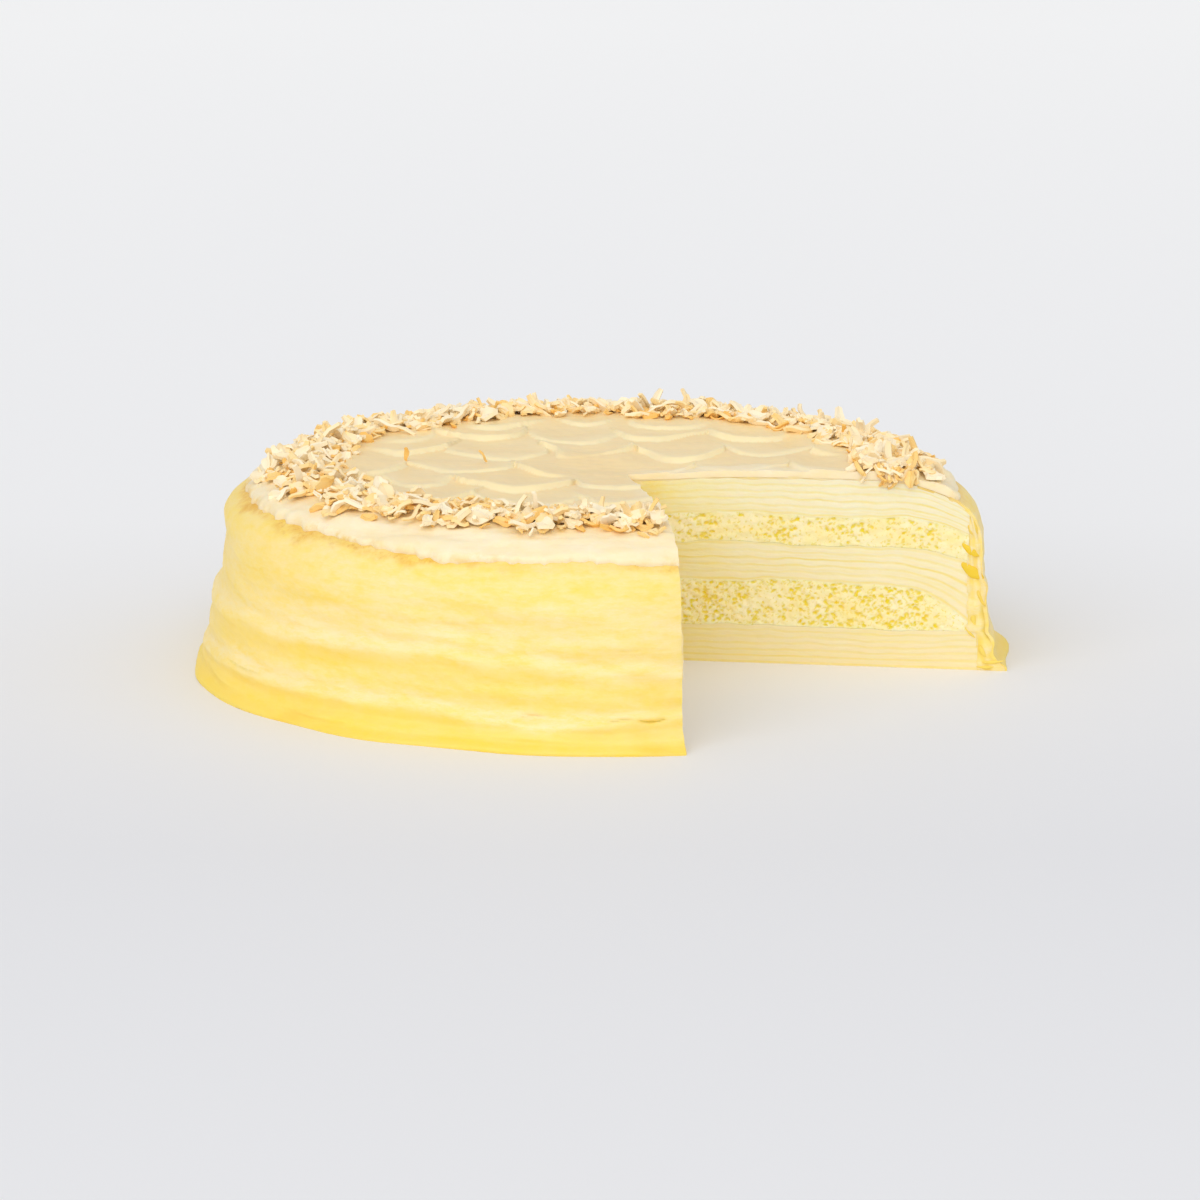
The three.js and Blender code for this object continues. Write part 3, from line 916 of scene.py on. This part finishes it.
def tongue(start_along, start_z, end_along, end_z, thick, saffron, face):
    """A flattened lens on a cut face, between two places given along the cut and in height."""
    angle = FAR_CUT + face * SWEEP
    along = np.array([math.cos(angle), math.sin(angle)])
    out = cut_faces(np.zeros(1))[face][1]
    bpy.ops.mesh.primitive_uv_sphere_add(segments=20, ring_count=12, radius=1)
    piece = bpy.context.object
    u, v, w = points_of(piece).T
    half = math.hypot(end_along - start_along, end_z - start_z) / 2
    run = np.array([end_along - start_along, end_z - start_z]) / (2 * half)
    side = np.array([-run[1], run[0]])
    swell = thick * (1 + 0.25 * np.sin(3 * u + start_z)) * (1 - 0.3 * u)
    spot = np.array([(start_along + end_along) / 2, (start_z + end_z) / 2])
    spot = spot[:, None] + run[:, None] * u * half + side[:, None] * (v * swell + 0.25 * u * u * half * 0.4)
    plan = CUT_POINT[:, None] + along[:, None] * spot[0] + out[:, None] * w * TONGUE_PROUD
    put_points(piece, np.stack([plan[0], plan[1], np.maximum(spot[1], 0.0)], 1) * MM)
    plain_marks(piece, 0.2 + 0.9 * (1 - saffron), 0.0, saffron)
    return piece


tongues = [tongue(*shape, face) for face in (0, 1) for shape in TONGUES]
bpy.ops.object.select_all(action="DESELECT")
for piece in tongues:
    piece.select_set(True)
bpy.context.view_layer.objects.active = tongues[0]
bpy.ops.object.join()
tongues[0].name = tongues[0].data.name = "piece_fold_tongues"
finish_piece(tongues[0], skin_finish, ["outer_crepe"], 60)
print(2 * len(TONGUES), "tongues")

# %% [markdown]
# The icing was spread with a knife in short curved strokes that lie like fish scales. Each stroke leaves a
# raised lip on the side nearest to the viewer. They could be drawn one by one, but they lie in rows like
# tiles, so the row and the number of a stroke give its place, with a little unevenness of its own.

# %% Knife strokes
STROKE_WIDTH = 28.0
STROKE_PITCH = 25.0
STROKE_SAG = 15.0
STROKE_FALL = 7.5
STROKE_DEPTH = 1.15
LIP_FRONT = 3.2


def strokes(x, y):
    """Height of the knife strokes in millimetres, and how far each place lies behind its stroke's lip."""
    x = x + 2.2 * flat_wander(x, y, 30, 101)
    y = y + 1.8 * flat_wander(x, y, 26, 102)
    behind = np.full_like(x, 99.0)
    full = np.ones_like(x)
    row = np.floor(y / STROKE_PITCH)
    for step in (-1, 0, 1):
        this = row + step
        u = x / STROKE_WIDTH + 0.5 * this + 0.2 * np.sin(2.3 * this)
        number = np.floor(u)
        u = u - number - 0.5
        late = 3.5 * np.sin(number * 2.9 + this * 1.7)
        lip = this * STROKE_PITCH - STROKE_SAG * (1 - 4 * u * u) + late
        gone = y - lip
        nearer = (gone >= 0) & (gone < behind)
        full = np.where(nearer, 0.8 + 0.35 * np.sin(number * 4.1 + this * 2.6), full)
        behind = np.where(nearer, gone, behind)
    front = smooth(behind, 0, LIP_FRONT)
    lip = 2 * np.exp(-behind / STROKE_FALL) * front + (1 - front) * 0.1
    return STROKE_DEPTH * (lip * full - 1), behind


print("strokes are", STROKE_WIDTH, "mm wide, in rows", STROKE_PITCH, "mm apart")

# %% [markdown]
# The icing lies on the draped chain. Towards the rim it is smooth, and it ends in a ragged edge that hangs a
# little over the shoulder. It is a sheet too, laid along the chain and lifted off it by its thickness.

# %% The icing
ICING_COLUMNS = 430
ICING_ROWS = 190
# Its thickness at ways out along the chain.
ICING_THICKNESS = (
    (0, 1.0), (12, 1.1), (23, 1.8), (34, 2.0), (56, 2.1), (75, 2.0), (88, 2.0), (98, 2.1), (106, 1.9),
)
EDGE_ROLL = 3.6


def on_drape(turn, share, edge, lift):
    """Places on the draped chain, lifted off it: share 0 is the cut's point and share 1 the edge."""
    reach, heading = from_cut_point(turn, edge)
    flat = CUT_POINT[:, None] + share * reach * heading
    along = np.hypot(*flat)
    radius, z, way = drape(along)
    height = lift(along, *flat)
    x, y = spread_out(turn, np.ones_like(turn), np.maximum(radius + height * way[0], 20.0))
    x, y = np.where(along < 60, flat[0], x), np.where(along < 60, flat[1], y)
    return x, y, z + height * way[1] - top_sag(x, y), along


icing, turn, share, under = sheet("piece_icing", ICING_COLUMNS, ICING_ROWS)
heading = FAR_CUT + turn
degrees = np.degrees(heading) % 360
rim_ring = round_the_wall(heading)
ragged = 0.35 * wander(rim_ring, 9, 112) + 0.35 * wander(rim_ring, 3.6, 113)
edge = np.interp(degrees, *ICING_EDGE.T) + ragged
# Marks for the finish: painted highlights on the lips of the strokes, and the smooth band that the knife wiped
# beside the far cut.
lip_highlight, wiped = np.zeros_like(share), np.zeros_like(share)


def icing_lift(along, x, y):
    """Thickness of the icing over the draped chain."""
    thick = np.interp(along, *np.array(ICING_THICKNESS).T)
    height, behind = strokes(x, y)
    beside = -cut_faces(np.zeros(1))[0][1] @ (np.array([x, y]) - CUT_POINT[:, None])
    beside = smooth(10 + 2.5 * flat_wander(x, y, 18, 126) - beside, 0, 7) * smooth(x, 6, 18)
    wiped[:] = beside * (1 - smooth(along, 74, 84))
    shown = smooth(along, 12, 26) * (1 - smooth(along, 66, 77)) * (1 - 0.5 * wiped)
    lip_highlight[:] = shown * (0.75 * np.exp(-behind / 7) + 0.25 * np.exp(-behind / 2.5))
    flow = np.array([x * 0.35, y * 0.35, along * 1.4])
    smear = smooth(along, 90, 98) * (0.3 * wander(flow, 9, 121) + 0.12 * wander(flow, 3.2, 122))
    uneven = 0.16 * flat_wander(x, y, 12, 123) + 0.05 * flat_wander(x, y, 3.5, 124)
    roll = np.clip((edge - along) / EDGE_ROLL, 0, 1)
    full = (thick + height * shown + smear + uneven) * np.sqrt(np.clip(1 - (1 - roll) ** 2, 0, 1))
    return np.where(under, -0.35, full - 0.5 * (1 - roll) ** 6)


x, y, z, along = on_drape(turn, share, edge, icing_lift)
for mask, out in cut_faces(turn):
    proud = 0.15 + 0.12 * wander(np.array([x[mask], y[mask], z[mask]]), 5, 125)
    x[mask] += out[0] * proud
    y[mask] += out[1] * proud
put_points(icing, np.stack([x, y, z], 1) * MM)
store(icing, "lip_highlight", lip_highlight)
flare = 0.5 + 0.5 * wander(rim_ring, 40, 97) + 0.5 * hump(degrees, 212, 22)
store(icing, "fray", np.clip(flare, 0, 1) * smooth(along, edge - 3.4, edge - 0.2))
rim = np.maximum(smooth(along, 92, 100), 0.75 * wiped)
store(icing, "rim", np.where((turn < ON_CUT) | (turn > SWEEP - ON_CUT), 0.9, rim))
close_sheet(icing)
print("icing", len(icing.data.polygons), "faces")

# %% [markdown]
# Icing is paler on the lips of the strokes, as painted highlights where they face the light, paler on the rim,
# where it is thin and bright, and a little browned where its ragged edge has taken up crumbs of the crepe. The
# marks on its mesh say where.

# %% Finish of the icing
icing_finish = Finish("icing", Roughness=0.4, Subsurface_Weight=0.2, Subsurface_Scale=0.005)
icing_finish.shader.inputs["Subsurface Radius"].default_value = (1.0, 0.75, 0.4)
cloud = icing_finish.spread(icing_finish.noise(60, 3), 0.3, 0.7)
swept = icing_finish.spread(icing_finish.noise(70, 5, 0.7, (1, 1, 2.5)), 0.35, 0.65)
rim = icing_finish.blend(swept, srgb(254, 231, 182), srgb(255, 238, 203))
frayed = icing_finish.spread(icing_finish.noise(210, 5, 0.7), 0.42, 0.6)
# Painted highlights: the lips of the strokes are paler where they face the light.
icing_finish.paint(
    srgb(254, 226, 171), (cloud, srgb(252, 220, 160)),
    (icing_finish.mark("lip_highlight").clipped(), srgb(255, 237, 190)), (icing_finish.mark("rim"), rim),
    ((icing_finish.mark("fray") * frayed).clipped(), srgb(244, 204, 116)),
)
icing_finish.bump(icing_finish.noise(420, 4, 0.55), 0.0003, 0.25)
finish_piece(icing, icing_finish, ["icing"], 65)
print("finish", icing_finish.material.name)

# %% [markdown]
# The coconut is cut in thin curled chips. Each could be curled by a cloth or bend tool, but six small chips,
# modelled once with a few dozen faces each, are enough: turned, sized and toasted differently, they don't
# look repeated.

# %% Chips of coconut
# A chip's thickness, before it gets its size.
CHIP_BODY = 0.13
# Each chip: its length and width, how far it curls, and how much its ends taper.
CHIP_OUTLINES = (
    (1.0, 0.5, 0.24, 0.45), (0.85, 0.56, 0.16, 0.7), (1.15, 0.36, 0.36, 0.4),
    (0.75, 0.62, 0.2, 0.6), (1.3, 0.28, 0.34, 0.4), (0.9, 0.48, -0.16, 0.7),
)


def chip(number, long, wide, curl, taper):
    """One chip of about unit length, curled along it, and given its thickness."""
    piece = new_grid(f"chip_{number}", 5, 2)
    points = points_of(piece)
    u, v = points[:, 0].copy(), points[:, 1].copy()
    rng = np.random.default_rng(200 + number)
    half = wide * (1 - taper * np.abs(2 * u + 0.3 * curl) ** 1.7) * (1 + rng.uniform(-0.28, 0.28, len(u)))
    points[:, 0] = u * long + rng.uniform(-0.03, 0.03, len(u))
    points[:, 1] = v * half + 0.12 * curl * np.sin(4 * u)
    points[:, 2] = curl * u * u + 0.5 * wide * v * v + 0.1 * np.sin(5 * u + number)
    put_points(piece, points)
    body = piece.modifiers.new("body", "SOLIDIFY")
    body.thickness = CHIP_BODY
    body.offset = 0
    bpy.ops.object.modifier_apply(modifier=body.name)
    shape = points_of(piece).copy()
    faces = [tuple(face.vertices) for face in piece.data.polygons]
    bpy.data.meshes.remove(piece.data)
    return shape, faces


CHIPS = [chip(number, *outline) for number, outline in enumerate(CHIP_OUTLINES)]
print(len(CHIPS), "chips of", len(CHIPS[0][1]), "faces")

# %% [markdown]
# The chips lie heaped in a ring. They could be dropped by a physics run, but that is slow and differs from
# one machine to the next. Here they are laid from the bottom up: the first lie flat and are the more toasted,
# partly their own toasting and partly painted warm shade between the chips, the last lie on the heap, and now
# and then one stands on edge. All are joined in one mesh.

# %% How a chip is turned, and how chips are joined
def turned(heading, tip, roll):
    """A rotation that rolls a chip about its length, tips it, and then turns it to a heading."""
    ca, sa = math.cos(heading), math.sin(heading)
    cb, sb = math.cos(tip), math.sin(tip)
    cc, sc = math.cos(roll), math.sin(roll)
    around = np.array([[ca, -sa, 0], [sa, ca, 0], [0, 0, 1]])
    up = np.array([[cb, 0, sb], [0, 1, 0], [-sb, 0, cb]])
    side = np.array([[1, 0, 0], [0, cc, -sc], [0, sc, cc]])
    return around @ up @ side


def scatter(name, laid):
    """Joins laid chips in one mesh. Each is (shape number, size, rotation, place, toast with painted shade)."""
    points, faces, toast_and_shade = [], [], []
    for number, size, rotation, place, colour in laid:
        shape, sides = CHIPS[number]
        start = len(toast_and_shade)
        points.append((shape * size) @ rotation.T + place)
        faces += [tuple(corner + start for corner in side) for side in sides]
        tips = np.abs(shape[:, 0]) / np.abs(shape[:, 0]).max()
        toast_and_shade += list(np.clip(colour + 0.22 * (tips - 0.5), 0, 1))
    mesh = bpy.data.meshes.new(name)
    mesh.from_pydata((np.concatenate(points) * MM).tolist(), [], faces)
    piece = bpy.data.objects.new(name, mesh)
    bpy.context.collection.objects.link(piece)
    store(piece, "toast_and_shade", np.array(toast_and_shade))
    return piece


print("a chip turned by 90 degrees points along", turned(math.pi / 2, 0, 0)[:, 0].round(3))

# %% The ring of coconut
RING_INNER = 76.5
RING_OUTER = 100.5
# The height of the icing's surface at radii from the cake's axis.
ICING_SURFACE = np.array([
    (12, 58.1), (23, 58.9), (34, 59.1), (66, 59.1), (75, 58.9), (88, 58.7), (94, 58.0), (98, 57.3), (103, 55.8),
    (107.5, 53.6), (110.2, 51.8),
])
CHIP_COUNT = 1750
CHIP_LENGTH = (3.4, 8.2)
HEAP = 1.7

rng = np.random.default_rng(77)
laid = []
for i in range(CHIP_COUNT):
    layer = i / CHIP_COUNT
    turn = rng.uniform(0.02, SWEEP - 0.02)
    bound = np.array([[math.cos(turn) * 90], [math.sin(turn) * 90], [0.0]])
    inner = RING_INNER + 2.2 * wander(bound, 30, 81)[0]
    outer = RING_OUTER - 1.0 + 1.6 * wander(bound, 22, 82)[0]
    radius = inner + (outer - inner) * np.clip(rng.normal(0.5, 0.26), -0.04, 1.0)
    reach, heading = from_cut_point(turn, radius)
    place = CUT_POINT + reach * heading
    share = np.clip((radius - RING_INNER) / (RING_OUTER - RING_INNER), 0, 1)
    heap = HEAP * math.sqrt(max(math.sin(math.pi * share), 0.0)) * layer
    ground = np.interp(radius, *ICING_SURFACE.T)
    lean = math.atan(np.interp(radius, [92, 98, 104], [0.0, 0.3, 0.55]))
    tip = rng.normal(0, 0.14 + 0.2 * layer) + (rng.random() < 0.08 * layer) * rng.uniform(0.6, 1.1)
    roll = rng.normal(0, 0.3 + 0.4 * layer)
    size = rng.uniform(*CHIP_LENGTH) * (0.75 + 0.35 * layer)
    outward = math.atan2(place[1], place[0])
    slope = turned(outward, lean, 0) @ turned(-outward, 0, 0)
    rotation = slope @ turned(rng.uniform(0, 2 * math.pi), tip, roll)
    lift = 0.3 + heap + 0.2 * size * abs(math.sin(tip))
    back = smooth(np.array(place[1]), -60, 70)
    # Lower chips are painted more toasted: partly their own toasting, partly painted warm shade between the
    # chips.
    colour = np.clip(rng.beta(1.2, 3.0) + 0.85 * (1 - layer) ** 2 - 0.14 + 0.03 * back, 0, 1)
    laid.append((rng.integers(len(CHIPS)), size, rotation, np.array([*place, ground + lift]), colour))

print(len(laid), "chips lie in the ring")

# %% [markdown]
# Some chips have slipped and hang over the far cut, near its outer end, and two strays stand in the icing.

# %% Chips over the cut, strays, and the finish
HANGING_COUNT = 22
STRAY_LENGTH = 4.0
STRAY_HEIGHT = 60.6
# Each stray: its place in plan, its heading and tip, and its toast.
STRAYS = ((-58, 3, 1.4, 1.2, 0.9), (-35, 0, 0.6, 0.9, 0.75))

for i in range(HANGING_COUNT):
    along = rng.normal(79, 4.5)
    place = CUT_POINT + along * np.array([math.cos(FAR_CUT), math.sin(FAR_CUT)])
    place += rng.uniform(-0.6, 1.0) * cut_faces(np.zeros(1))[0][1]
    fall = rng.uniform(0, 1)
    rotation = turned(math.radians(-98) + rng.normal(0, 0.9), 0.3 + 0.9 * fall, rng.normal(0, 0.9))
    laid.append((rng.integers(len(CHIPS)), rng.uniform(3.6, 6.4), rotation,
                 np.array([*place, 59.8 - 3.2 * fall]), rng.uniform(0.1, 0.95)))
for x, y, heading, tip, colour in STRAYS:
    laid.append((2, STRAY_LENGTH, turned(heading, tip, 0.4), np.array([x, y, STRAY_HEIGHT]), colour))

ring = scatter("piece_coconut_ring", laid)
coconut_finish = Finish("toasted coconut", Roughness=0.55)
toast_and_shade = coconut_finish.mark("toast_and_shade")
light = coconut_finish.spread(toast_and_shade, 0.02, 0.4)
light = coconut_finish.blend(light, srgb(255, 241, 209), srgb(255, 230, 178))
dark = coconut_finish.spread(toast_and_shade, 0.6, 1.0)
dark = coconut_finish.blend(dark, srgb(253, 218, 142), srgb(248, 194, 98))
coconut_finish.paint(light, (coconut_finish.spread(toast_and_shade, 0.35, 0.65), dark))
coconut_finish.bump(coconut_finish.noise(700, 3), 0.0002, 0.3)
finish_piece(ring, coconut_finish, ["coconut_ring"], 28)
print("coconut ring", len(ring.data.polygons), "faces in", len(laid), "chips")
